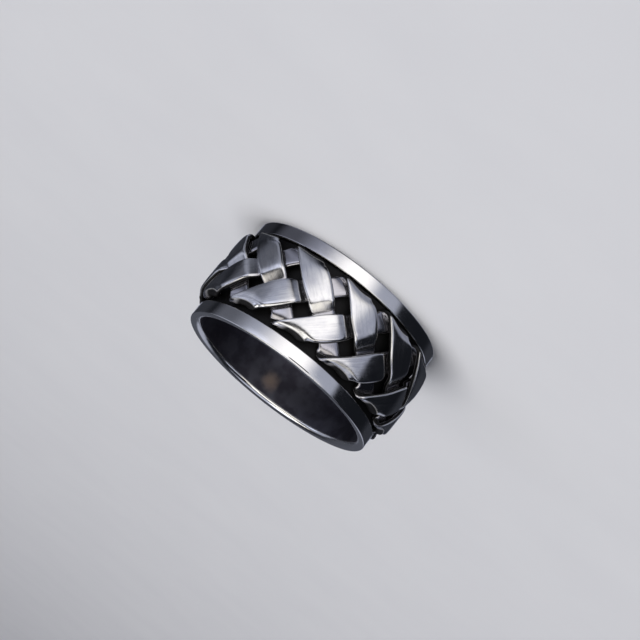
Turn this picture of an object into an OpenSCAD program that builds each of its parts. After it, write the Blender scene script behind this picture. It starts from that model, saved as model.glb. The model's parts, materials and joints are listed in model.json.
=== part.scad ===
// Braided band ring. A silver sleeve carries two raised rims, and three flat strands
// are braided in the channel between them. The ring lies on the face of one rim.
// Millimetres, +Z up along the finger axis, origin on the axis at the lower rim face.

/* [Band] */
// Inside diameter, where the finger goes
bore_d = 19.0; // [18.6:0.1:19.6]
// Width from rim face to rim face
band_w = 11.5; // [11:0.1:12]
// Wall of the sleeve under the braid
sleeve_t = 0.45; // [0.4:0.05:0.5]
// Height of a rim over the sleeve
rim_h = 0.6; // [0.5:0.05:0.7]
// Width of the upper rim
upper_rim_w = 1.55; // [1.4:0.05:1.7]
// Width of the lower rim, which the ring lies on
lower_rim_w = 1.43; // [1.38:0.05:1.68]
// Rounding where the bore meets a rim face
finger_round = 0.4; // [0.3:0.05:0.4]
// Rounding of a rim's outer corner
rim_round = 0.12; // [0.08:0.02:0.16]

/* [Braid] */
// Folds along each side of the braid
folds = 12; // [9:3:15]
// Width of a strand where it crosses over another
over_w = 2.65; // [2.4:0.05:2.7]
// Width of a strand where it crosses under another
under_w = 2.2; // [2:0.05:2.3]
// Width of a strand at its folds
fold_w = 2.05; // [1.9:0.05:2.1]
// Thickness of a strand
strand_t = 0.62; // [0.58:0.02:0.64]
// Space between the upper rim and the folds beside it
upper_gap = 0.22; // [0.2:0.02:0.3]
// Space between the lower rim and the folds beside it
lower_gap = 0.1; // [0.08:0.02:0.2]
// Space between the sleeve and the lowest stretch of a strand
floor_gap = 0.05; // [0.05:0.01:0.1]
// Space between the two layers of a fold
fold_gap = 0.08; // [0.06:0.01:0.1]
// Space between two strands where they cross
cross_gap = 0.08; // [0.06:0.01:0.1]
// Rise of a strand from its fold to where it crosses under another
under_rise = 0.3; // [0.25:0.01:0.34]
// Turn of the braid round the ring, in degrees
braid_turn = 11.5; // [0:0.5:29.5]

/* [Hidden] */

STRANDS = 3;
SILVER = [0.86, 0.86, 0.88];
BRIGHT_SILVER = [0.92, 0.92, 0.93];
ARC_FN = 96;

bore_r = bore_d / 2;
sleeve_r = bore_r + sleeve_t;
rim_r = sleeve_r + rim_h;

// One leg of a strand runs across the channel, from the fold at one rim to the fold at the other.
legs = 2 * folds / STRANDS;
leg_turn = 360 / legs;
fold_r = (strand_t + fold_gap) / 2;
fold_mid_r = sleeve_r + floor_gap + strand_t / 2 + fold_r;
braid_low = lower_rim_w + lower_gap;
braid_high = band_w - upper_rim_w - upper_gap;
braid_mid = (braid_low + braid_high) / 2;
flat_z = (braid_high - braid_low) / 2 - strand_t / 2 - fold_r;
quarter = PI * fold_r / 2;
leg_y = 2 * (flat_z + quarter);
leg_x = 2 * PI * fold_mid_r / legs;
lay = atan2(leg_y, leg_x);

// Heights of a strand's middle over the middle of its folds.
upper = fold_r;
lower = -fold_r;
under = lower + under_rise;
over = under + strand_t + cross_gap;

// Sections of the flat stretch of a leg, which leaves its first fold as the upper layer and
// reaches its last fold as the lower layer. A section's place is its share of the stretch. Its
// slant is 1 parallel to the folds and 0 square to the strand.
// place, slant, width, height
FLAT_SECTIONS = [
    [0.00, 1.00, fold_w, upper],
    [0.06, 0.75, mix(fold_w, over_w, 0.35), mix(upper, over, 0.3)],
    [0.13, 0.35, mix(fold_w, over_w, 0.75), mix(upper, over, 0.75)],
    [0.21, 0.05, mix(fold_w, over_w, 0.95), mix(upper, over, 0.96)],
    [0.31, 0.00, over_w, over],
    [0.41, 0.00, mix(under_w, over_w, 0.75), over],
    [0.455, 0.00, mix(under_w, over_w, 0.5), mix(under, over, 0.84)],
    [0.50, 0.00, mix(under_w, over_w, 0.25), mix(under, over, 0.5)],
    [0.545, 0.00, under_w, mix(under, over, 0.16)],
    [0.59, 0.00, under_w, under],
    [0.69, 0.00, under_w, under],
    [0.79, 0.05, mix(fold_w, under_w, 0.5), mix(lower, under, 0.96)],
    [0.87, 0.35, fold_w, mix(lower, under, 0.75)],
    [0.94, 0.75, fold_w, mix(lower, under, 0.3)],
    [1.00, 1.00, fold_w, lower]
];
FOLD_STEPS = 3;
// The outline of a strand is a rounded oblong, and a lower power is squarer.
OUTLINE_POINTS = 12;
OUTLINE_POWER = 0.4;
NUDGE = 0.01;

function mix(a, b, share) = a + (b - a) * share;
function unit(v) = v / norm(v);
function rounded(c, half) = half * sign(c) * pow(abs(c), OUTLINE_POWER);

// Sections of one leg, from the middle of one fold to just before the middle of the next.
// distance from the fold's middle, slant, width, height
LEG_SECTIONS = concat(
    [for (i = [0:FOLD_STEPS - 1]) let (share = i / FOLD_STEPS)
        [quarter * share, 1, fold_w, fold_r * sin(90 * share)]],
    [for (row = FLAT_SECTIONS) [quarter + 2 * flat_z * row[0], row[1], row[2], row[3]]],
    [for (i = [1:FOLD_STEPS - 1]) let (share = i / FOLD_STEPS)
        [leg_y - quarter * (1 - share), 1, fold_w, -fold_r * cos(90 * share)]]
);
PER_LEG = len(LEG_SECTIONS);
SECTIONS = PER_LEG * legs;

// Distance from the middle of the braid towards the fold that the leg starts from.
function across(y) =
    y < quarter ? flat_z + fold_r * cos(90 * y / quarter)
    : y > leg_y - quarter ? -flat_z - fold_r * cos(90 * (leg_y - y) / quarter)
    : flat_z + quarter - y;

// The point of a strand's middle surface that lies q from the strand's middle line.
function middle(section, q, first) =
    let (
        index = (section + SECTIONS) % SECTIONS,
        leg = floor(index / PER_LEG),
        row = LEG_SECTIONS[index % PER_LEG],
        y = row[0] + (1 - row[1]) * q * cos(lay),
        x = row[0] / tan(lay) - q * (row[1] * pow(cos(lay), 2) / sin(lay) + sin(lay)),
        turn = first - leg_turn * (leg + x / leg_x),
        r = fold_mid_r + row[3],
        side = leg % 2 == 0 ? 1 : -1
    )
    [r * cos(turn), r * sin(turn), braid_mid + side * across(y)];

// The same point moved out of the middle surface by n.
function skin(section, q, n, first) =
    let (
        along = middle(section + 1, q, first) - middle(section - 1, q, first),
        aside = middle(section, q + NUDGE, first) - middle(section, q - NUDGE, first)
    )
    middle(section, q, first) + n * unit(cross(along, aside));

module channel_band() {
    color(SILVER)
    rotate_extrude($fn = ARC_FN)
    band_profile();
}

// Half section of the sleeve with its two rims. The corners that touch the skin are round.
module band_profile() {
    difference() {
        union() {
            translate([bore_r, 0]) square([sleeve_t, band_w]);
            rim_profile(lower_rim_w);
            translate([0, band_w]) mirror([0, 1]) rim_profile(upper_rim_w);
        }
        finger_corner();
        translate([0, band_w]) mirror([0, 1]) finger_corner();
    }
}

module rim_profile(width) {
    inset = rim_r - rim_round;
    translate([bore_r, 0]) square([inset - bore_r, width]);
    translate([inset, rim_round]) square([rim_round, width - 2 * rim_round]);
    for (z = [rim_round, width - rim_round])
        translate([inset, z]) circle(r = rim_round, $fn = ARC_FN);
}

// What is cut from the corner between the bore and a rim face.
module finger_corner() {
    difference() {
        translate([bore_r - 1, -1]) square(1 + finger_round);
        translate([bore_r + finger_round, finger_round]) circle(r = finger_round, $fn = ARC_FN);
    }
}

module strand(index) {
    first = braid_turn - 90 + index * 360 / folds;
    turns = [for (k = [0:OUTLINE_POINTS - 1]) 360 * k / OUTLINE_POINTS];
    points = [for (i = [0:SECTIONS - 1])
        let (w = LEG_SECTIONS[i % PER_LEG][2])
        for (a = turns)
            skin(i, rounded(cos(a), w / 2), rounded(sin(a), strand_t / 2), first)];
    faces = [for (i = [0:SECTIONS - 1]) for (k = [0:OUTLINE_POINTS - 1])
        let (
            near = i * OUTLINE_POINTS,
            far = (i + 1) % SECTIONS * OUTLINE_POINTS,
            next = (k + 1) % OUTLINE_POINTS
        )
        each [[near + k, far + next, near + next], [near + k, far + k, far + next]]];
    color(BRIGHT_SILVER)
    polyhedron(points, faces, convexity = 10);
}

channel_band();
strand(0);  // strand_1
strand(1);  // strand_2
strand(2);  // strand_3
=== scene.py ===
"""A braided silver band ring on a pale floor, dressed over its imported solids.

The ring lies on one rim. A sleeve carries two raised rims, and three flat strands are braided in
the blackened channel between them. Sizes below are in millimetres, and the row frame's metres come
in at one place, the ``metres`` function.
"""

import json
import logging
import math
from dataclasses import dataclass
from enum import Enum
from typing import NamedTuple

import bmesh
import bpy
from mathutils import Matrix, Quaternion, Vector


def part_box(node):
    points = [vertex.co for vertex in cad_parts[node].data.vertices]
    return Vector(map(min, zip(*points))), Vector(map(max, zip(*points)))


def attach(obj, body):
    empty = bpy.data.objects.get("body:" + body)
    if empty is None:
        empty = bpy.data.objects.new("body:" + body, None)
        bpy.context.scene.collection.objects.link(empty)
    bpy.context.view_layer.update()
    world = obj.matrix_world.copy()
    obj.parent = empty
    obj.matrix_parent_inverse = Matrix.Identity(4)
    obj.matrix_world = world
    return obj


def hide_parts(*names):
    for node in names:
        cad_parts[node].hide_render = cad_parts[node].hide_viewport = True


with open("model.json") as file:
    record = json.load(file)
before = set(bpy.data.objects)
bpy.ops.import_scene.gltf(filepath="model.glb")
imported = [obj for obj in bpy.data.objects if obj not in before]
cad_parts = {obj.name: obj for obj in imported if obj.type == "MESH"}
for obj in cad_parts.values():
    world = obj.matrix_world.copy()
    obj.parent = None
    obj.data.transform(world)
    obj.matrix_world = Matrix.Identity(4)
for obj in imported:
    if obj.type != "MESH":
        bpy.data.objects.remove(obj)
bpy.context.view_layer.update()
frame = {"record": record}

LOG = logging.getLogger("braided_band_ring")
MM = 0.001
Socket = bpy.types.NodeSocket


def metres(x: float, y: float, z: float) -> Vector:
    """Turns a point in millimetres into the row frame's metres."""
    return Vector((x, y, z)) * MM


def mix(a: float, b: float, share: float) -> float:
    """Goes from a to b as share goes from 0 to 1."""
    return a + (b - a) * share


def ease(share: float) -> float:
    """Smooth step from 0 to 1, held at both ends."""
    held = min(1.0, max(0.0, share))
    return held * held * (3.0 - 2.0 * held)


def ease_over(value: float, span: tuple[float, float]) -> float:
    """Smooth step from 0 where a value enters a span to 1 where it leaves it."""
    start, stop = span
    return ease((value - start) / (stop - start))


def linear(hex_colour: str) -> tuple[float, float, float, float]:
    """Turns an sRGB colour such as ``#C0C0C8`` into linear red, green, blue and an alpha of 1.

    Args:
        hex_colour: six hex digits after a hash.

    Returns:
        The four numbers that a colour socket takes.
    """
    channels = [int(hex_colour[i:i + 2], 16) / 255.0 for i in (1, 3, 5)]
    red, green, blue = [c / 12.92 if c <= 0.04045 else ((c + 0.055) / 1.055) ** 2.4 for c in channels]
    return (red, green, blue, 1.0)


class Tree:
    """The node tree of one material or world, with one way to add a node."""

    def __init__(self, owner: bpy.types.Material | bpy.types.World) -> None:
        """Starts an empty tree on its owner."""
        owner.use_nodes = True
        self.owner = owner
        self.nodes = owner.node_tree.nodes
        self.links = owner.node_tree.links
        self.nodes.clear()

    def add(self, kind: str, links: dict[str | int, Socket] | None = None,
            values: dict[str | int, object] | None = None, **settings: object) -> bpy.types.ShaderNode:
        """Adds a node, sets it up and links its inputs.

        Args:
            kind: the node's type without its ``ShaderNode`` prefix.
            links: input name or index to the output socket that feeds it.
            values: input name or index to the value that it holds.
            **settings: properties of the node itself.

        Returns:
            The new node.
        """
        node = self.nodes.new("ShaderNode" + kind)
        for key, value in settings.items():
            setattr(node, key, value)
        for key, value in (values or {}).items():
            node.inputs[key].default_value = value
        for key, socket in (links or {}).items():
            self.links.new(socket, node.inputs[key])
        return node


class Sheen(Enum):
    """How far a surface was taken through the polishing compounds."""

    POLISHED = 0.13
    SATIN = 0.17


@dataclass(frozen=True)
class OxidisedSilver:
    """Sterling silver, blackened with liver of sulphur and polished back on what stands proud.

    The metal gives bright, nearly neutral reflections with hairline scratches. The sulphide that
    stays in the recesses is a matt brown-black, and fades to grey where the wheel reached it. The
    same black is also painted shade where the braid's strands close each other in.
    """

    name: str
    sheen: Sheen
    silver: str = "#F3F2F0"
    handled: str = "#DBDBDF"
    sulphide_and_shade_black: str = "#0B0A0A"
    sulphide_and_shade_roughness: float = 0.62
    sulphide_and_shade_metal: float = 0.25
    # Length scales of the real marks, in millimetres.
    hairline_mm: float = 0.09
    hairline_deep_mm: float = 0.004
    dent_mm: float = 1.3
    dent_deep_mm: float = 0.015

    def sulphide_and_painted_shade(self, tree: Tree, place: Socket) -> Socket:
        """Returns the socket that is 1 where the black goes, sulphide and painted shade. Finishes say where
        they are.
        """
        raise NotImplementedError

    def grain(self, tree: Tree, place: Socket) -> Socket:
        """Returns the socket of the stretched coordinates along which the scratches run."""
        raise NotImplementedError

    def bare(self, tree: Tree, place: Socket) -> Socket:
        """Returns the colour of the metal outside the recesses, which varies a little with handling."""
        cloud = tree.add("TexNoise", {"Vector": place}, {"Scale": 0.8 / (self.dent_mm * MM), "Detail": 5.0})
        patchy = tree.add("MapRange", {"Value": cloud.outputs["Fac"]}, {"From Min": 0.45, "From Max": 0.75})
        colours = {"A": linear(self.silver), "B": linear(self.handled)}
        mixed = tree.add("Mix", {"Factor": patchy.outputs["Result"]}, colours, data_type="RGBA")
        return mixed.outputs["Result"]

    def knocks(self, tree: Tree, place: Socket, dents: Socket) -> Socket:
        """Returns the height of the soft dents, from their noise."""
        return dents

    def dull(self, tree: Tree, place: Socket, gloss: Socket) -> Socket:
        """Returns the roughness outside the recesses, from what the polish left."""
        return gloss

    def radius(self, tree: Tree, place: Socket) -> Socket:
        """Returns the socket of the distance from the finger axis."""
        axes = tree.add("SeparateXYZ", {"Vector": place})
        flat = tree.add("CombineXYZ", {"X": axes.outputs["X"], "Y": axes.outputs["Y"]})
        return tree.add("VectorMath", {0: flat.outputs["Vector"]}, operation="LENGTH").outputs["Value"]

    def rise(self, tree: Tree, value: Socket, low: float, high: float) -> Socket:
        """Returns the socket that goes from 0 to 1 as the value goes from low to high."""
        ends = {"From Min": low, "From Max": high}
        return tree.add("MapRange", {"Value": value}, ends, interpolation_type="SMOOTHSTEP").outputs["Result"]

    def fall(self, tree: Tree, value: Socket, low: float, high: float) -> Socket:
        """Returns the socket that goes from 1 to 0 as the value goes from low to high."""
        ends = {"From Min": low, "From Max": high, "To Min": 1.0, "To Max": 0.0}
        return tree.add("MapRange", {"Value": value}, ends, interpolation_type="SMOOTHSTEP").outputs["Result"]

    def both(self, tree: Tree, *masks: Socket) -> Socket:
        """Returns the product of masks."""
        whole = masks[0]
        for mask in masks[1:]:
            whole = tree.add("Math", {0: whole, 1: mask}, operation="MULTIPLY").outputs[0]
        return whole

    def make(self) -> bpy.types.Material:
        """Builds the material.

        Returns:
            The material, with its silver, scratches, soft dents and black recesses of sulphide and painted
            shade.
        """
        tree = Tree(bpy.data.materials.new(self.name))
        place = tree.add("TexCoord").outputs["Object"]
        sulphide_and_painted_shade = self.sulphide_and_painted_shade(tree, place)
        hairlines = tree.add("TexNoise", {"Vector": self.grain(tree, place)},
                             {"Scale": 1.0, "Detail": 3.0, "Roughness": 0.6})
        dents = tree.add("TexNoise", {"Vector": place},
                         {"Scale": 1.0 / (self.dent_mm * MM), "Detail": 1.0, "Roughness": 0.4})
        smear = tree.add("TexNoise", {"Vector": place},
                         {"Scale": 0.6 / (self.dent_mm * MM), "Detail": 4.0, "Roughness": 0.65})
        worn = tree.add("MapRange", {"Value": smear.outputs["Fac"]},
                        {"From Min": 0.3, "From Max": 0.7, "To Min": self.sheen.value * 0.7,
                         "To Max": self.sheen.value * 1.35})
        streaks = tree.add("MapRange", {"Value": hairlines.outputs["Fac"]},
                           {"From Min": 0.35, "From Max": 0.75, "To Min": -0.03, "To Max": 0.05})
        gloss = tree.add("Math", {0: worn.outputs["Result"], 1: streaks.outputs["Result"]}, operation="ADD")
        rough = tree.add("Mix", {"Factor": sulphide_and_painted_shade, "A": self.dull(tree, place, gloss.outputs[0])},
                         {"B": self.sulphide_and_shade_roughness}, data_type="FLOAT")
        # The recesses' black is sulphide and, on the braid, painted shade.
        colour = tree.add("Mix", {"Factor": sulphide_and_painted_shade, "A": self.bare(tree, place)},
                          {"B": linear(self.sulphide_and_shade_black)}, data_type="RGBA")
        metal = tree.add("Mix", {"Factor": sulphide_and_painted_shade}, {"A": 1.0, "B": self.sulphide_and_shade_metal}, data_type="FLOAT")
        scratched = tree.add("Bump", {"Height": hairlines.outputs["Fac"]},
                             {"Strength": 1.0, "Distance": self.hairline_deep_mm * MM})
        dented = tree.add("Bump", {
            "Height": self.knocks(tree, place, dents.outputs["Fac"]),
            "Normal": scratched.outputs["Normal"],
        }, {"Strength": 1.0, "Distance": self.dent_deep_mm * MM})
        surface = tree.add("BsdfPrincipled", {
            "Base Color": colour.outputs["Result"],
            "Metallic": metal.outputs["Result"],
            "Roughness": rough.outputs["Result"],
            "Normal": dented.outputs["Normal"],
        })
        tree.add("OutputMaterial", {"Surface": surface.outputs["BSDF"]})
        return tree.owner


@dataclass(frozen=True)
class StrandSilver(OxidisedSilver):
    """The braid's silver, painted black as shade, over the sulphide, where strands meet and dive under each
    other.
    """

    # What is closed in within this reach is painted black as shade below the first openness and bare above
    # the second.
    reach_mm: float = 0.7
    shut_in: tuple[float, float] = (0.27, 0.45)
    # The nose of a fold beside its rim is painted black as shade, over shares of a leg. Its tip is
    # left bare, and the tip's place is a share of the girth.
    legs: int = 8
    nose: tuple[float, float] = (0.058, 0.082)
    tip: tuple[float, float] = (0.19, 0.235)
    # Length of a whole strand and girth of its section.
    run_mm: float = 91.0
    girth_mm: float = 5.6
    # How far the black, painted shade over sulphide, reaches up the side walls, as shares of the girth.
    wall: tuple[float, float] = (0.06, 0.09)
    # The wheel only brushed what lies nearer to the finger axis than this.
    brushed_r_mm: tuple[float, float] = (11.1, 11.35)
    brushed: str = "#C4C2C6"
    streaked: str = "#C2C2C8"
    streaked_share: float = 0.45

    def sulphide_and_painted_shade(self, tree: Tree, place: Socket) -> Socket:
        """Paints black, as shade over the sulphide, what is closed in, the side walls and the folds' noses.
        """
        shut = tree.add("AmbientOcclusion", None, {"Distance": self.reach_mm * MM}, samples=12)
        cloud = tree.add("TexNoise", {"Vector": place}, {"Scale": 1.0 / (0.25 * MM), "Detail": 3.0})
        shift = tree.add("Math", {0: cloud.outputs["Fac"]}, {1: 0.2, 2: -0.1}, operation="MULTIPLY_ADD")
        openness = tree.add("Math", {0: shut.outputs["AO"], 1: shift.outputs[0]}, operation="ADD").outputs[0]
        # Painted shade: black where other strands close this spot in.
        painted_shade_pocket = self.fall(tree, openness, *self.shut_in)
        # Half a turn round the section leads from one side wall to the other.
        turned = tree.add("SeparateXYZ", {"Vector": tree.add("TexCoord").outputs["UV"]}).outputs["Y"]
        from_wall = tree.add("Math", {0: turned}, {1: 0.5}, operation="PINGPONG").outputs[0]
        folded = tree.add("Math", {0: from_wall}, {1: 0.25}, operation="PINGPONG").outputs[0]
        ragged = tree.add("Math", {0: cloud.outputs["Fac"], 2: folded}, {1: 0.02}, operation="MULTIPLY_ADD")
        # Painted shade over sulphide: black up the side walls.
        wall = self.fall(tree, ragged.outputs[0], *self.wall)
        shade_and_sulphide = tree.add("Math", {0: painted_shade_pocket, 1: wall}, operation="MAXIMUM").outputs[0]
        # Painted shade on the folds' noses beside the rims.
        return tree.add("Math", {0: shade_and_sulphide, 1: self.painted_shade_on_noses(tree)}, operation="MAXIMUM").outputs[0]

    def bare(self, tree: Tree, place: Socket) -> Socket:
        """Leaves a streaky film where strands run under others, and bares what stands proud."""
        streaks = tree.add("TexNoise", {"Vector": self.grain(tree, place)},
                           {"Scale": 0.6, "Detail": 2.0, "Roughness": 0.7}).outputs["Fac"]
        height = tree.add("Math", {0: streaks, 2: self.radius(tree, place)}, {1: 0.3 * MM},
                          operation="MULTIPLY_ADD").outputs[0]
        near, far = self.brushed_r_mm
        deep = self.fall(tree, height, near * MM, far * MM)
        faint = tree.add("MapRange", {"Value": streaks},
                         {"From Min": 0.42, "From Max": 0.75, "To Max": self.streaked_share},
                         interpolation_type="SMOOTHSTEP").outputs["Result"]
        proud = tree.add("Mix", {"Factor": faint, "A": super().bare(tree, place)},
                         {"B": linear(self.streaked)}, data_type="RGBA").outputs["Result"]
        return tree.add("Mix", {"Factor": deep, "A": proud},
                        {"B": linear(self.brushed)}, data_type="RGBA").outputs["Result"]

    def painted_shade_on_noses(self, tree: Tree) -> Socket:
        """Returns the socket that is 1 on the folds' noses, close beside a rim, but not at their tips: where
        shade is painted.
        """
        place = tree.add("SeparateXYZ", {"Vector": tree.add("TexCoord").outputs["UV"]}).outputs
        leg = tree.add("Math", {0: place["X"]}, {1: float(self.legs)}, operation="MULTIPLY").outputs[0]
        from_fold = tree.add("Math", {0: leg}, {1: 0.5}, operation="PINGPONG").outputs[0]
        return self.both(tree, self.fall(tree, from_fold, *self.nose), self.rise(tree, place["Y"], *self.tip))

    def grain(self, tree: Tree, place: Socket) -> Socket:
        """Runs the hairlines along the strand, the way it was drawn and then polished."""
        return tree.add("Mapping", {"Vector": tree.add("TexCoord").outputs["UV"]}, {
            "Scale": (self.run_mm / 1.6, self.girth_mm / self.hairline_mm, 1.0),
        }).outputs["Vector"]


class Patch(NamedTuple):
    """A mark on a rim's outer wall.

    ``start``, ``stop`` and ``fade`` are degrees from the front towards +X, ``low``, ``high`` and
    ``soft`` are heights in millimetres, and ``wobble`` is how far its ends wander, in degrees.
    """

    start: float
    stop: float
    fade: float
    low: float
    high: float
    soft: float
    wobble: float


@dataclass(frozen=True)
class BandSilver(OxidisedSilver):
    """The sleeve's silver, with its scratches round the finger and its channel left black."""

    # The black reaches out to the first radius, between the two heights, and starts at the second one.
    channel_r_mm: float = 10.42
    channel_low_mm: float = 1.6
    channel_high_mm: float = 9.9
    inner_r_mm: float = 9.75
    # Marks on the rims lie further out than this.
    wall_r_mm: float = 10.5
    # The soft dents, and the share of them that stays outside the bore's mouths.
    dent_deep_mm: float = 0.03
    smooth_share: float = 0.1
    hairline_deep_mm: float = 0.001
    # The bore's colour is painted dark, as a shaded reflection, with one painted warm highlight.
    painted_bore_shade: str = "#74747E"
    painted_bore_shade_deep: str = "#5A5862"
    painted_warm_highlight: str = "#BBA89C"
    painted_highlight_spot_mm: tuple[float, float, float] = (0.5, 9.48, 9.5)
    painted_highlight_reach_mm: float = 1.3
    bore_r_mm: float = 9.5
    bore_roughness: float = 0.42
    # Fingers dulled a stretch of the lower rim, and a long thin line near the upper rim's edge is painted
    # black as the shade of a nick.
    smudge: str = "#C8C6C7"
    smudged: Patch = Patch(18, 100, 11, -1.0, 1.6, 0.01, 14)
    painted_nick_shade: Patch = Patch(-10.5, 2.5, 1.5, 11.21, 11.3, 0.03, 2)
    # Pits of the casting: how far apart they may lie, how wide they are and what share of them shows.
    pit_gap_mm: float = 1.7
    pit_r_mm: float = 0.05
    pit_share: float = 0.35

    def in_bore(self, tree: Tree, place: Socket) -> Socket:
        """Returns the socket that is 1 on the bore's wall and 0 on its rounded mouths."""
        radius = self.radius(tree, place)
        return self.fall(tree, radius, (self.bore_r_mm + 0.003) * MM, (self.bore_r_mm + 0.03) * MM)

    def mark(self, tree: Tree, place: Socket, patch: Patch) -> Socket:
        """Returns the socket that is 1 on a patch of a rim's outer wall."""
        axes = tree.add("SeparateXYZ", {"Vector": place})
        ahead = tree.add("Math", {0: axes.outputs["Y"]}, {1: -1.0}, operation="MULTIPLY").outputs[0]
        turn = tree.add("Math", {0: axes.outputs["X"], 1: ahead}, operation="ARCTAN2").outputs[0]
        cloud = tree.add("TexNoise", {"Vector": place}, {"Scale": 1.0 / (1.2 * MM), "Detail": 4.0})
        wobble = math.radians(patch.wobble)
        shift = tree.add("Math", {0: cloud.outputs["Fac"]}, {1: wobble, 2: -wobble / 2},
                         operation="MULTIPLY_ADD")
        wander = tree.add("Math", {0: turn, 1: shift.outputs[0]}, operation="ADD").outputs[0]
        near, far = math.radians(patch.start), math.radians(patch.stop)
        fade, soft = math.radians(patch.fade), patch.soft * MM
        height = axes.outputs["Z"]
        return self.both(
            tree,
            self.rise(tree, wander, near - fade, near + fade),
            self.fall(tree, wander, far - fade, far + fade),
            self.rise(tree, height, patch.low * MM - soft, patch.low * MM + soft),
            self.fall(tree, height, patch.high * MM - soft, patch.high * MM + soft),
            self.rise(tree, self.radius(tree, place), (self.wall_r_mm - 0.05) * MM, self.wall_r_mm * MM),
        )

    def bare(self, tree: Tree, place: Socket) -> Socket:
        """Paints the bore dark as a shaded reflection with one warm painted highlight, and dulls the lower
        rim with a smudge.
        """
        # Painted warm highlight on the bore's far wall.
        spot = [length * MM for length in self.painted_highlight_spot_mm]
        away = tree.add("VectorMath", {0: place}, {1: spot}, operation="DISTANCE").outputs["Value"]
        cloud = tree.add("TexNoise", {"Vector": place}, {"Scale": 1.0 / (1.6 * MM), "Detail": 3.0})
        reach = self.painted_highlight_reach_mm * MM
        ragged = tree.add("Math", {0: cloud.outputs["Fac"], 2: away}, {1: reach},
                          operation="MULTIPLY_ADD").outputs[0]
        thick = self.rise(tree, cloud.outputs["Fac"], 0.35, 0.65)
        # Painted dark reflection over the bore.
        painted_bore_shade = tree.add("Mix", {"Factor": thick}, {"A": linear(self.painted_bore_shade), "B": linear(self.painted_bore_shade_deep)},
                        data_type="RGBA").outputs["Result"]
        painted_dark_bore = tree.add("Mix", {"Factor": self.fall(tree, ragged, reach * 0.5, reach * 1.5), "A": painted_bore_shade},
                        {"B": linear(self.painted_warm_highlight)}, data_type="RGBA").outputs["Result"]
        colours = {"A": linear(self.silver), "B": linear(self.smudge)}
        rims = tree.add("Mix", {"Factor": self.mark(tree, place, self.smudged)}, colours,
                        data_type="RGBA").outputs["Result"]
        return tree.add("Mix", {"Factor": self.in_bore(tree, place), "A": rims, "B": painted_dark_bore},
                        data_type="RGBA").outputs["Result"]

    def knocks(self, tree: Tree, place: Socket, dents: Socket) -> Socket:
        """Keeps the dents for the bore's rounded mouths, which wear unevenly, and evens out the rest."""
        radius = self.radius(tree, place)
        mouth = self.both(
            tree,
            self.rise(tree, radius, self.bore_r_mm * MM, (self.bore_r_mm + 0.03) * MM),
            self.fall(tree, radius, (self.bore_r_mm + 0.45) * MM, (self.bore_r_mm + 0.6) * MM),
        )
        share = tree.add("MapRange", {"Value": mouth}, {"To Min": self.smooth_share, "To Max": 1.0})
        return tree.add("Math", {0: dents, 1: share.outputs["Result"]}, operation="MULTIPLY").outputs[0]

    def dull(self, tree: Tree, place: Socket, gloss: Socket) -> Socket:
        """Leaves the bore satin, because no wheel of that size goes through it."""
        return tree.add("Mix", {"Factor": self.in_bore(tree, place), "A": gloss}, {"B": self.bore_roughness},
                        data_type="FLOAT").outputs["Result"]

    def pits(self, tree: Tree, place: Socket) -> Socket:
        """Returns the socket that is 1 in a few tiny pits of the rims."""
        cells = tree.add("TexVoronoi", {"Vector": place}, {"Scale": 1.0 / (self.pit_gap_mm * MM)})
        radius = self.pit_r_mm / self.pit_gap_mm
        dots = self.fall(tree, cells.outputs["Distance"], radius * 0.7, radius * 1.3)
        kept = tree.add("Math", {0: cells.outputs["Color"]}, {1: self.pit_share},
                        operation="LESS_THAN").outputs[0]
        return self.both(tree, dots, kept)

    def sulphide_and_painted_shade(self, tree: Tree, place: Socket) -> Socket:
        """Finds the channel by its distance from the finger axis and its height, and adds the pits and the
        nick's painted shade.
        """
        height = tree.add("SeparateXYZ", {"Vector": place}).outputs["Z"]
        radius = self.radius(tree, place)
        cloud = tree.add("TexNoise", {"Vector": place}, {"Scale": 1.0 / (0.3 * MM), "Detail": 3.0})
        wander = tree.add("Math", {0: cloud.outputs["Fac"]}, {1: 0.16 * MM, 2: -0.08 * MM},
                          operation="MULTIPLY_ADD").outputs[0]
        edge = tree.add("Math", {0: radius, 1: wander}, operation="ADD").outputs[0]
        channel = self.both(
            tree,
            self.fall(tree, edge, (self.channel_r_mm - 0.06) * MM, (self.channel_r_mm + 0.1) * MM),
            self.rise(tree, radius, self.inner_r_mm * MM, (self.inner_r_mm + 0.02) * MM),
            self.rise(tree, height, (self.channel_low_mm - 0.21) * MM, (self.channel_low_mm - 0.2) * MM),
            self.fall(tree, height, (self.channel_high_mm + 0.2) * MM, (self.channel_high_mm + 0.21) * MM),
        )
        # The nick's black line is painted shade.
        marks = tree.add("Math", {0: self.mark(tree, place, self.painted_nick_shade), 1: self.pits(tree, place)},
                         operation="MAXIMUM").outputs[0]
        return tree.add("Math", {0: channel, 1: marks}, operation="MAXIMUM").outputs[0]

    def grain(self, tree: Tree, place: Socket) -> Socket:
        """Stretches the scratches round the finger, as the lathe leaves them."""
        axes = tree.add("SeparateXYZ", {"Vector": place})
        turn = tree.add("Math", {0: axes.outputs["Y"], 1: axes.outputs["X"]}, operation="ARCTAN2")
        around = tree.add("Math", {0: turn.outputs[0]}, {1: 18.0}, operation="MULTIPLY").outputs[0]
        fine = 1.0 / (self.hairline_mm * MM)
        up = tree.add("Math", {0: axes.outputs["Z"]}, {1: fine}, operation="MULTIPLY").outputs[0]
        out = tree.add("Math", {0: self.radius(tree, place)}, {1: fine}, operation="MULTIPLY").outputs[0]
        return tree.add("CombineXYZ", {"X": around, "Y": up, "Z": out}).outputs["Vector"]


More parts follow.
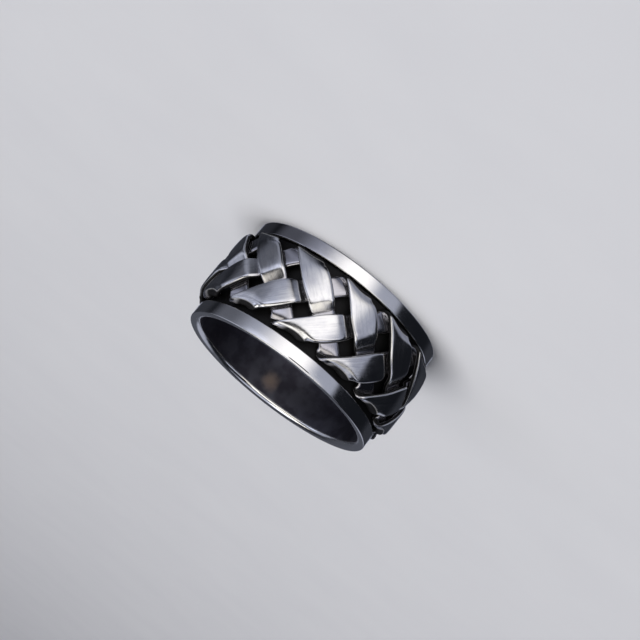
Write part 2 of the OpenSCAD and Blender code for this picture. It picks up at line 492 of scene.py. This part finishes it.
@dataclass(frozen=True)
class MattPaper:
    """The floor's pale matt paper, with the faint mottle of its pulp."""

    name: str = "matt_paper"
    pale: str = "#D9D9DB"
    shade: str = "#D2D2D5"

    def make(self) -> bpy.types.Material:
        """Builds the material."""
        tree = Tree(bpy.data.materials.new(self.name))
        place = tree.add("TexCoord").outputs["Object"]
        pulp = tree.add("TexNoise", {"Vector": place}, {"Scale": 60.0, "Detail": 5.0})
        colour = tree.add("Mix", {"Factor": pulp.outputs["Fac"]},
                          {"A": linear(self.pale), "B": linear(self.shade)}, data_type="RGBA")
        surface = tree.add("BsdfPrincipled", {"Base Color": colour.outputs["Result"]}, {"Roughness": 0.9})
        tree.add("OutputMaterial", {"Surface": surface.outputs["BSDF"]})
        return tree.owner


def finished(name: str, mesh: bmesh.types.BMesh, material: bpy.types.Material) -> bpy.types.Object:
    """Turns a bmesh into a smooth-shaded object at the origin.

    Args:
        name: the piece's name.
        mesh: its faces in metres, which this frees.
        material: what it is made of.

    Returns:
        The linked object.
    """
    for face in mesh.faces:
        face.smooth = True
    data = bpy.data.meshes.new(name)
    mesh.to_mesh(data)
    mesh.free()
    data.materials.append(material)
    piece = bpy.data.objects.new(name, data)
    bpy.context.scene.collection.objects.link(piece)
    return piece


@dataclass(frozen=True)
class RingSizes:
    """The sizes in millimetres that the band and the braid share."""

    bore_r: float
    rim_r: float
    band_w: float
    sleeve_t: float = 0.45
    upper_rim_w: float = 1.55
    lower_rim_w: float = 1.43

    @property
    def sleeve_r(self) -> float:
        """Radius of the channel's floor."""
        return self.bore_r + self.sleeve_t


class Section(NamedTuple):
    """One cross section of a strand's leg.

    ``y`` is its distance from the fold behind, over the unfolded strand. ``slant`` is 1 parallel to
    the folds and 0 square to the strand. ``height`` is over the middle of the fold. ``bead`` is how
    much the loose side of the fold stands over that.
    """

    y: float
    slant: float
    width: float
    height: float
    bead: float


class Uneven(NamedTuple):
    """How unevenly the braid was hammered in at one place round the ring.

    ``place`` is in degrees from the front towards +X. The leans are how far the braid lies ahead of
    its even place beside the lower and the upper rim, and the bow is how much further ahead the
    middle of a leg from the lower rim lies, in degrees. The waists are how far the middle of a fold
    is drawn in from its rim, in millimetres.
    """

    place: float
    low_lean: float
    high_lean: float
    bow: float
    low_waist: float
    high_waist: float


# place, low_lean, high_lean, bow, low_waist, high_waist
UNEVEN = (
    Uneven(-150, 1.0, 0.3, 0.2, 0.30, 0.30),
    Uneven(-100, 1.8, 0.2, 0.5, 0.40, 0.35),
    Uneven(-55, 2.7, 0.2, 1.0, 0.40, 0.40),
    Uneven(-25, 2.3, 0.0, 1.2, 0.42, 0.40),
    Uneven(5, 0.8, -0.2, 0.2, 0.28, 0.40),
    Uneven(38, 1.5, 0.1, 0.0, 0.15, 0.40),
    Uneven(66, 1.5, 0.4, 0.0, 0.10, 0.35),
    Uneven(110, 1.2, 0.0, 0.3, 0.30, 0.30),
    Uneven(210, 1.0, 0.3, 0.2, 0.30, 0.30),
)


def uneven_at(place: float) -> Uneven:
    """Reads the table of unevenness between its rows.

    Args:
        place: degrees from the front towards +X, of any turn.

    Returns:
        A row for that place.
    """
    first = UNEVEN[0].place
    held = (place - first) % 360 + first
    before, after = next(pair for pair in zip(UNEVEN, UNEVEN[1:]) if held <= pair[1].place)
    share = ease((held - before.place) / (after.place - before.place))
    return Uneven(held, *(mix(a, b, share) for a, b in zip(before[1:], after[1:])))


@dataclass
class Strand:
    """One flat strand of the braid, a closed loop that is folded over at both rims.

    Its sizes are in millimetres, and its turns in degrees. A leg runs from the fold at one rim to the
    fold at the other, and places along its flat stretch are shares of that stretch.
    """

    index: int
    sizes: RingSizes
    finish: bpy.types.Material
    folds: int = 12
    strands: int = 3
    over_w: float = 2.65
    under_w: float = 2.2
    fold_w: float = 2.05
    thick: float = 0.61
    upper_gap: float = 0.22
    lower_gap: float = 0.1
    floor_gap: float = 0.05
    fold_gap: float = 0.08
    cross_gap: float = 0.08
    under_rise: float = 0.3
    braid_turn: float = 11.5
    # How far the section turns over at a fold, where a leg crosses over, and where it starts to dive.
    fold_turn: float = 80.0
    crossing: float = 0.31
    brink: float = 0.395
    # The loose side of a fold stands a little proud, up to this share of its width past its middle.
    bead: float = 0.045
    bead_ends: float = 0.65
    # The edge that ends in a fold's tip is crisp, and the other one is hammered round.
    tip_corner_w: float = 0.2
    loose_corner_w: float = 0.4
    corner_steps: int = 3
    dome: float = 0.04
    # How much broader a leg from the lower rim stays at its dive and where it crosses under, and the
    # places over which it broadens and narrows again.
    broad: float = 0.25
    broadens: tuple[float, float] = (0.37, 0.50)
    narrows: tuple[float, float] = (0.70, 0.80)
    # Hammering drew the tips of the folds out.
    low_tip_reach: float = 0.17
    high_tip_reach: float = 0.25
    # Heights over which the lower rim's lean goes over to the upper one's, and over which a leg's bow
    # comes and goes.
    lean_z: tuple[float, float] = (4.5, 7.5)
    bow_comes_z: tuple[float, float] = (2.4, 5.0)
    bow_goes_z: tuple[float, float] = (6.2, 9.0)

    def __post_init__(self) -> None:
        """Works out the sizes that follow from the driving ones."""
        self.legs = 2 * self.folds // self.strands
        self.fold_r = (self.thick + self.fold_gap) / 2
        self.fold_mid_r = self.sizes.sleeve_r + self.floor_gap + self.thick / 2 + self.fold_r
        low = self.sizes.lower_rim_w + self.lower_gap
        high = self.sizes.band_w - self.sizes.upper_rim_w - self.upper_gap
        self.mid_z = (low + high) / 2
        self.fold_z = (high - low) / 2 - self.thick / 2 - self.fold_r
        self.fold_span = math.radians(self.fold_turn)
        self.turned = self.fold_r * self.fold_span
        self.flat_y = 2 * (self.fold_z + self.fold_r * math.cos(self.fold_span))
        self.leg_y = self.flat_y + 2 * self.turned
        self.leg_x = math.tau * self.fold_mid_r / self.legs
        self.lay = math.atan2(self.leg_y, self.leg_x)
        self.under = self.under_rise - self.fold_r
        self.over = self.under + self.thick + self.cross_gap
        self.sections = self.leg_sections()

    def arch(self, place: float) -> float:
        """Height of the stretch that crosses over another strand, one arc with its top on the crossing."""
        return self.over - (self.over - self.fold_r) * ((place - self.crossing) / self.crossing) ** 2

    def leg_sections(self) -> list[Section]:
        """Lists the sections of one leg, from a fold's middle to just before the next one's.

        Returns:
            Fold sections by angle, and between them the rows of the table of the flat stretch.
        """
        arch, low, under = self.arch, -self.fold_r, self.under
        brink = arch(self.brink)
        wide, slim, bent = self.over_w, self.under_w, self.fold_w
        # place, slant, width, height, bead
        flat = (
            (0.00, 1.00, bent, arch(0.00), 0.0),
            (0.03, 0.90, mix(bent, wide, 0.16), arch(0.03), 0.25),
            (0.06, 0.75, mix(bent, wide, 0.35), arch(0.06), 0.7),
            (0.09, 0.57, mix(bent, wide, 0.55), arch(0.09), 1.0),
            (0.13, 0.35, mix(bent, wide, 0.75), arch(0.13), 0.85),
            (0.17, 0.18, mix(bent, wide, 0.87), arch(0.17), 0.5),
            (0.22, 0.04, mix(bent, wide, 0.96), arch(0.22), 0.15),
            (0.27, 0.00, wide, arch(0.27), 0.0),
            (0.32, 0.00, mix(slim, wide, 0.98), arch(0.32), 0.0),
            (0.37, 0.00, mix(slim, wide, 0.86), arch(0.37), 0.0),
            (self.brink, 0.00, mix(slim, wide, 0.76), brink, 0.0),
            (0.41, 0.00, mix(slim, wide, 0.69), mix(under, brink, 0.98), 0.0),
            (0.425, 0.00, mix(slim, wide, 0.62), mix(under, brink, 0.94), 0.0),
            (0.443, 0.00, mix(slim, wide, 0.54), mix(under, brink, 0.88), 0.0),
            (0.455, 0.00, mix(slim, wide, 0.48), mix(under, brink, 0.79), 0.0),
            (0.475, 0.00, mix(slim, wide, 0.38), mix(under, brink, 0.60), 0.0),
            (0.50, 0.00, mix(slim, wide, 0.26), mix(under, brink, 0.36), 0.0),
            (0.52, 0.00, mix(slim, wide, 0.16), mix(under, brink, 0.17), 0.0),
            (0.54, 0.00, mix(slim, wide, 0.04), mix(under, brink, 0.04), 0.0),
            (0.575, 0.00, slim, under, 0.0),
            (0.63, 0.00, slim, under, 0.0),
            (0.69, 0.00, slim, under, 0.0),
            (0.74, 0.00, slim, mix(low, under, 0.99), 0.0),
            (0.79, 0.05, mix(bent, slim, 0.5), mix(low, under, 0.96), 0.0),
            (0.83, 0.18, bent, mix(low, under, 0.91), 0.0),
            (0.87, 0.35, bent, mix(low, under, 0.82), 0.0),
            (0.91, 0.57, bent, mix(low, under, 0.64), 0.0),
            (0.94, 0.75, bent, mix(low, under, 0.44), 0.0),
            (0.97, 0.90, bent, mix(low, under, 0.22), 0.0),
            (1.00, 1.00, bent, low, 0.0),
        )
        fold_steps = 3
        shares = [i / fold_steps for i in range(fold_steps)]
        rows = [Section(self.turned * t, 1.0, bent, self.fold_r * math.sin(self.fold_span * t), 0.0)
                for t in shares]
        rows += [Section(self.turned + self.flat_y * place, slant, width, height, bead)
                 for place, slant, width, height, bead in flat]
        rows += [Section(self.leg_y - self.turned * (1 - t), 1.0, bent,
                         -self.fold_r * math.sin(self.fold_span * (1 - t)), 0.0) for t in shares[1:]]
        return rows

    def across(self, y: float) -> float:
        """Distance from the middle of the braid towards the fold that the leg starts from."""
        if y < self.turned:
            return self.fold_z + self.fold_r * math.cos(y / self.fold_r)
        if y > self.leg_y - self.turned:
            return -self.fold_z - self.fold_r * math.cos((self.leg_y - y) / self.fold_r)
        return self.flat_y / 2 + self.turned - y

    def middle(self, index: int, q: float) -> Vector:
        """A point of the strand's middle surface.

        Args:
            index: the section, counted round the whole loop.
            q: distance from the strand's middle line, positive on the side of a fold's sharp tip.

        Returns:
            The point in millimetres.
        """
        leg, step = divmod(index % (self.legs * len(self.sections)), len(self.sections))
        row = self.sections[step]
        y = row.y + (1 - row.slant) * q * math.cos(self.lay)
        x = row.y / math.tan(self.lay)
        x -= q * (row.slant * math.cos(self.lay) ** 2 / math.sin(self.lay) + math.sin(self.lay))
        first = self.braid_turn - 90 + self.index * 360 / self.folds
        turn = math.radians(first - 360 / self.legs * (leg + x / self.leg_x))
        loose = ease(self.bead_ends - q / self.fold_w)
        r = self.fold_mid_r + row.height + self.bead * row.bead * loose
        side = 1 if leg % 2 == 0 else -1
        out = side * self.across(y)
        uneven = uneven_at(math.degrees(turn) + 90)
        waist = uneven.high_waist if out > 0 else uneven.low_waist
        drawn_in = waist * row.slant ** 2 * max(0.0, 1 - (2 * q / row.width) ** 2)
        z = self.mid_z + out - math.copysign(drawn_in, out)
        lean = mix(uneven.low_lean, uneven.high_lean, ease_over(z, self.lean_z))
        if side < 0:
            lean += uneven.bow * ease_over(z, self.bow_comes_z) * (1 - ease_over(z, self.bow_goes_z))
        turn += math.radians(lean)
        return Vector((r * math.cos(turn), r * math.sin(turn), z))

    def outline(self) -> list[tuple[int, float, float]]:
        """Lists the section's outline, a flat oblong with oval corners, once round from its side.

        Returns:
            For each point the edge that it is near, which is 1 or -1, or 0 in the middle, its
            distance in from that edge in millimetres, and its share of half the thickness.
        """
        turns = [math.pi / 2 * i / self.corner_steps for i in range(self.corner_steps + 1)]
        right = [(1, self.tip_corner_w * (1 - math.cos(turn)), math.sin(turn)) for turn in turns]
        left = [(-1, self.loose_corner_w * (1 - math.cos(turn)), math.sin(turn)) for turn in reversed(turns)]
        over = right + [(0, 0.0, 1.0)] + left
        below = [(edge, inset, -up) for edge, inset, up in reversed(over[1:-1])]
        return over + below

    def skin(self, index: int, edge: int, inset: float, up: float) -> Vector:
        """A point of the strand's surface.

        Args:
            index: the section, counted round the whole loop.
            edge: 1 or -1 for a point near that edge of the section, 0 for the middle.
            inset: how far in from that edge the point is, in millimetres.
            up: its share of half the thickness.

        Returns:
            The point in metres.
        """
        row = self.sections[index % len(self.sections)]
        half = row.width / 2
        from_lower_rim = index // len(self.sections) % 2 == 1
        if from_lower_rim:
            place = (row.y - self.turned) / self.flat_y
            half += self.broad / 2 * ease_over(place, self.broadens) * (1 - ease_over(place, self.narrows))
        if edge > 0:
            high = self.middle(index, 0.0).z > self.mid_z
            half += (self.high_tip_reach if high else self.low_tip_reach) * row.slant ** 2
        q = edge * (half - inset)
        n = up * self.thick / 2 * (1 - self.dome * (q / half) ** 2)
        nudge = 0.02
        along = self.middle(index + 1, q) - self.middle(index - 1, q)
        aside = self.middle(index, q + nudge) - self.middle(index, q - nudge)
        return (self.middle(index, q) + along.cross(aside).normalized() * n) * MM

    def build(self) -> bpy.types.Object:
        """Wraps a grid round the strand's sections, closes it into a loop and rounds it.

        Returns:
            The strand, riding on the root body in place of its solid.
        """
        rounds = self.legs * len(self.sections)
        outline = self.outline()
        mesh = bmesh.new()
        mesh.loops.layers.uv.new("along_and_round")
        bmesh.ops.create_grid(mesh, x_segments=rounds, y_segments=len(outline), size=0.5, calc_uvs=True)
        for vert in mesh.verts:
            index = round((vert.co.x + 0.5) * rounds)
            corner = round((vert.co.y + 0.5) * len(outline))
            vert.co = self.skin(index % rounds, *outline[corner % len(outline)])
        bmesh.ops.remove_doubles(mesh, verts=mesh.verts, dist=1e-7)
        bmesh.ops.recalc_face_normals(mesh, faces=mesh.faces)
        name = f"strand_{self.index + 1}"
        piece = finished(f"{name}_silver", mesh, self.finish)
        smooth = piece.modifiers.new("smooth", "SUBSURF")
        smooth.levels = smooth.render_levels = 2
        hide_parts(name)
        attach(piece, "root")
        return piece


@dataclass
class ChannelBand:
    """The sleeve and its two rims, turned as one piece."""

    sizes: RingSizes
    finish: bpy.types.Material
    finger_round: float = 0.58
    rim_round: float = 0.12
    channel_round: float = 0.08
    corner_steps: int = 6
    steps: int = 288

    def corners(self) -> list[tuple[float, float, float]]:
        """The half section's corners as radius, height and rounding, from the bore's low end round."""
        bore_r, rim_r, sleeve_r = self.sizes.bore_r, self.sizes.rim_r, self.sizes.sleeve_r
        low, high, top = self.sizes.lower_rim_w, self.sizes.band_w - self.sizes.upper_rim_w, self.sizes.band_w
        return [
            (bore_r, 0.0, self.finger_round),
            (rim_r, 0.0, self.rim_round),
            (rim_r, low, self.rim_round),
            (sleeve_r, low, self.channel_round),
            (sleeve_r, high, self.channel_round),
            (rim_r, high, self.rim_round),
            (rim_r, top, self.rim_round),
            (bore_r, top, self.finger_round),
        ]

    def build(self) -> bpy.types.Object:
        """Spins the rounded half section once round the finger axis.

        Returns:
            The band, riding on the root body in place of its solid.
        """
        mesh = bmesh.new()
        corners = self.corners()
        verts = [mesh.verts.new(metres(r, 0.0, z)) for r, z, _ in corners]
        mesh.faces.new(verts)
        for vert, (_, _, rounding) in zip(verts, corners):
            bmesh.ops.bevel(mesh, geom=[vert], offset=rounding * MM, offset_type="OFFSET",
                            segments=self.corner_steps, profile=0.5, affect="VERTICES", material=-1)
        edges = list(mesh.edges)
        bmesh.ops.delete(mesh, geom=list(mesh.faces), context="FACES_ONLY")
        bmesh.ops.spin(mesh, geom=edges, cent=(0, 0, 0), axis=(0, 0, 1), angle=math.tau, steps=self.steps,
                       use_merge=True)
        bmesh.ops.remove_doubles(mesh, verts=mesh.verts, dist=1e-7)
        bmesh.ops.recalc_face_normals(mesh, faces=mesh.faces)
        piece = finished("channel_band_silver", mesh, self.finish)
        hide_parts("channel_band")
        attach(piece, "root")
        return piece


class Edge(NamedTuple):
    """Where a lit panel ends and over how far it fades, both in degrees."""

    place: float
    fade: float


# Edges past the half turn, for panels that run on to where the two sides meet behind the ring.
PAST_LEFT = Edge(-400, 10)
PAST_RIGHT = Edge(400, 10)


@dataclass(frozen=True)
class Panel:
    """One lit panel of the studio round the ring.

    Azimuth 0 is the camera's side and 90 the ring's +X side. Elevation 0 is the horizon.
    """

    start: Edge
    stop: Edge
    bottom: Edge
    top: Edge
    strength: float
    tint: str = "#E2E8FF"

    def ramp(self, tree: Tree, angle: Socket, edge: Edge, rising: bool) -> Socket:
        """Goes from 0 to 1 across a rising edge, and from 1 to 0 across the other kind."""
        return tree.add("MapRange", {"Value": angle}, {
            "From Min": math.radians(edge.place - edge.fade),
            "From Max": math.radians(edge.place + edge.fade),
            "To Min": 0.0 if rising else 1.0,
            "To Max": 1.0 if rising else 0.0,
        }, interpolation_type="SMOOTHSTEP").outputs["Result"]

    def glow(self, tree: Tree, azimuth: Socket, rise: Socket, rest: Socket) -> Socket:
        """Adds the panel's light to the rest.

        Args:
            tree: the world's nodes.
            azimuth: the direction's turn in radians.
            rise: the direction's elevation in radians.
            rest: the light of what is there already.

        Returns:
            The socket of the sum.
        """
        ramps = [
            self.ramp(tree, azimuth, self.start, True),
            self.ramp(tree, azimuth, self.stop, False),
            self.ramp(tree, rise, self.bottom, True),
            self.ramp(tree, rise, self.top, False),
        ]
        lit = ramps[0]
        for ramp in ramps[1:]:
            lit = tree.add("Math", {0: lit, 1: ramp}, operation="MULTIPLY").outputs[0]
        light = [self.strength * channel for channel in linear(self.tint)[:3]]
        added = tree.add("VectorMath", {0: lit, 2: rest}, {1: light}, operation="MULTIPLY_ADD")
        return added.outputs["Vector"]


@dataclass
class Studio:
    """The pale floor, the soft lights and the camera."""

    centre_z: float
    dome_tint: str = "#15171C"
    panels: tuple[Panel, ...] = (
        # A broad card before the ring, two brighter ones over it, and a dim one at its side.
        Panel(Edge(-55, 4), Edge(66, 20), Edge(-36, 18), Edge(8, 4), 0.44),
        Panel(Edge(-38, 5), Edge(-20, 8), Edge(-6, 3), Edge(8, 4), 0.75, "#FFFAF2"),
        Panel(Edge(-18, 12), Edge(32, 24), Edge(-36, 18), Edge(8, 5), 0.86, "#FFFAF2"),
        Panel(Edge(60, 25), Edge(111, 11), Edge(-36, 18), Edge(8, 5), 0.12),
        # Two strips over and under the dim one, and a low one at the other side.
        Panel(Edge(60, 20), Edge(117, 6), Edge(-5, 4), Edge(9, 5), 0.3),
        Panel(Edge(60, 20), Edge(117, 6), Edge(-52, 10), Edge(-25, 4), 0.22),
        Panel(Edge(-118, 10), Edge(10, 20), Edge(-80, 5), Edge(-40, 5), 0.3),
        # A long strip over the camera.
        Panel(Edge(-26, 6), Edge(27, 8), Edge(30, 3), Edge(54, 5), 1.35, "#FEFCF9"),
        # Lower towards its one end, and higher towards the other.
        Panel(Edge(-70, 8), Edge(-42, 6), Edge(23, 3), Edge(38, 3), 0.6),
        Panel(Edge(-41, 5), Edge(-12, 6), Edge(13, 4), Edge(31, 4), 1.0, "#FFFBF4"),
        Panel(Edge(28, 10), Edge(100, 20), Edge(54, 4), Edge(84, 5), 1.7, "#FEFCF9"),
        # Small cards beside the strip's end.
        Panel(Edge(25, 3), Edge(56, 8), Edge(23, 3), Edge(44, 6), 1.0, "#FFFAF2"),
        Panel(Edge(56, 5), Edge(82, 6), Edge(22, 4), Edge(37, 4), 0.8),
        Panel(Edge(32, 5), Edge(60, 8), Edge(-9, 4), Edge(6, 4), 0.5),
        Panel(Edge(74, 6), Edge(106, 8), Edge(6, 5), Edge(50, 5), 0.4),
        # The back of the room, where each panel is drawn on both sides of the half turn.
        Panel(Edge(126, 8), PAST_RIGHT, Edge(-36, 18), Edge(0, 8), 0.03),
        Panel(PAST_LEFT, Edge(-126, 8), Edge(-36, 18), Edge(0, 8), 0.03),
        Panel(Edge(168, 6), PAST_RIGHT, Edge(-36, 18), Edge(0, 8), 0.6),
        Panel(PAST_LEFT, Edge(-168, 6), Edge(-36, 18), Edge(0, 8), 0.6),
        Panel(Edge(162, 8), PAST_RIGHT, Edge(0, 8), Edge(40, 12), 0.09),
        Panel(PAST_LEFT, Edge(-162, 8), Edge(0, 8), Edge(40, 12), 0.09),
        Panel(Edge(118, 10), Edge(162, 8), Edge(6, 6), Edge(46, 12), 0.08),
        Panel(Edge(-162, 8), Edge(-118, 10), Edge(6, 6), Edge(46, 12), 0.45),
        Panel(Edge(122, 10), PAST_RIGHT, Edge(-66, 8), Edge(-38, 6), 0.4),
        Panel(PAST_LEFT, Edge(-122, 10), Edge(-66, 8), Edge(-38, 6), 0.4),
        # The ceiling.
        Panel(PAST_LEFT, PAST_RIGHT, Edge(68, 6), Edge(100, 5), 0.6),
    )
    floor_half_m: float = 3.0
    # The camera's place and turn, fitted to the ring's circles in the photo.
    elevation_deg: float = 14.32
    distance_mm: float = 244.2
    aim_x_mm: float = 0.433
    aim_z_mm: float = -1.93
    roll_deg: float = -141.74
    lens_px: float = 2500.0
    picture_px: float = 640.0
    sensor_mm: float = 36.0

    def build(self) -> None:
        """Makes the floor, the lights and the camera."""
        self.floor()
        self.lights()
        self.camera()

    def floor(self) -> None:
        """Lays a pale sheet under the ring, which the silver doesn't mirror, as if behind a black flag."""
        mesh = bmesh.new()
        bmesh.ops.create_grid(mesh, x_segments=1, y_segments=1, size=self.floor_half_m)
        sheet = finished("floor", mesh, MattPaper().make())
        sheet.visible_glossy = False
        sheet.visible_shadow = False

    def softbox(self, name: str, azimuth: float, elevation: float, away: float, size: tuple[float, float],
                power: float, tint: str = "#FFFFFF") -> None:
        """Hangs one rectangular softbox that faces the ring.

        Args:
            name: the light's name.
            azimuth: degrees round the ring, 0 on the camera's side and 90 on the ring's +X side.
            elevation: degrees over the horizon.
            away: distance from the ring in metres.
            size: width and height in metres.
            power: watts.
            tint: sRGB colour.
        """
        lamp = bpy.data.lights.new(name, "AREA")
        lamp.shape = "RECTANGLE"
        lamp.size, lamp.size_y = size
        lamp.energy = power
        lamp.color = linear(tint)[:3]
        turn, rise = math.radians(azimuth), math.radians(elevation)
        way = Vector((math.sin(turn) * math.cos(rise), -math.cos(turn) * math.cos(rise), math.sin(rise)))
        box = bpy.data.objects.new(name, lamp)
        box.location = way * away + Vector((0, 0, self.centre_z * MM))
        box.rotation_mode = "QUATERNION"
        box.rotation_quaternion = way.to_track_quat("Z", "Y")
        box.visible_glossy = False
        bpy.context.scene.collection.objects.link(box)

    def lights(self) -> None:
        """Hangs one soft lamp for the floor's shadow and wraps lit panels round the ring."""
        self.softbox("overhead", azimuth=20, elevation=76, away=0.7, size=(0.55, 0.55), power=3.4)
        world = bpy.data.worlds.new("soft_studio")
        tree = Tree(world)
        axes = tree.add("SeparateXYZ", {"Vector": tree.add("TexCoord").outputs["Generated"]})
        ahead = tree.add("Math", {0: axes.outputs["Y"]}, {1: -1.0}, operation="MULTIPLY").outputs[0]
        azimuth = tree.add("Math", {0: axes.outputs["X"], 1: ahead}, operation="ARCTAN2").outputs[0]
        rise = tree.add("Math", {0: axes.outputs["Z"]}, operation="ARCSINE").outputs[0]
        red, green, blue, _ = linear(self.dome_tint)
        total = tree.add("CombineXYZ", None, {"X": red, "Y": green, "Z": blue}).outputs["Vector"]
        for panel in self.panels:
            total = panel.glow(tree, azimuth, rise, total)
        glow = tree.add("Background", {"Color": total})
        tree.add("OutputWorld", {"Surface": glow.outputs["Background"]})
        bpy.context.scene.world = world

    def camera(self) -> None:
        """Places the camera at the photo's angle to the ring, turned as the photo is."""
        rise = math.radians(self.elevation_deg)
        centre = Vector((0.0, 0.0, self.centre_z))
        place = centre + self.distance_mm * Vector((0.0, -math.cos(rise), math.sin(rise)))
        aim = centre + Vector((self.aim_x_mm, 0.0, self.aim_z_mm))
        data = bpy.data.cameras.new("camera")
        data.sensor_width = self.sensor_mm
        data.lens = self.lens_px / self.picture_px * self.sensor_mm
        data.clip_start, data.clip_end = 0.01, 10.0
        eye = bpy.data.objects.new("camera", data)
        level = (place - aim).to_track_quat("Z", "Y")
        eye.rotation_mode = "QUATERNION"
        eye.rotation_quaternion = level @ Quaternion((0.0, 0.0, 1.0), math.radians(self.roll_deg))
        eye.location = place * MM
        bpy.context.scene.collection.objects.link(eye)
        bpy.context.scene.camera = eye


def main() -> None:
    """Builds the ring's pieces and the studio."""
    logging.basicConfig(level=logging.INFO, format="%(name)s: %(message)s")
    low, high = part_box("channel_band")
    bore = next(mount for mount in frame["record"]["mounts"] if mount["name"] == "finger_bore")
    sizes = RingSizes(bore["dims"]["r_mm"], high.x / MM, (high.z - low.z) / MM)
    pieces = [ChannelBand(sizes, BandSilver("turned_silver", Sheen.POLISHED).make()).build()]
    braid = StrandSilver("braided_silver", Sheen.SATIN).make()
    pieces += [Strand(index, sizes, braid).build() for index in range(Strand.strands)]
    Studio(sizes.band_w / 2).build()
    bpy.context.scene.view_settings.view_transform = "Standard"
    for piece in pieces:
        LOG.info("%s: %d faces", piece.name, len(piece.data.polygons))


if __name__ == "__main__":
    main()
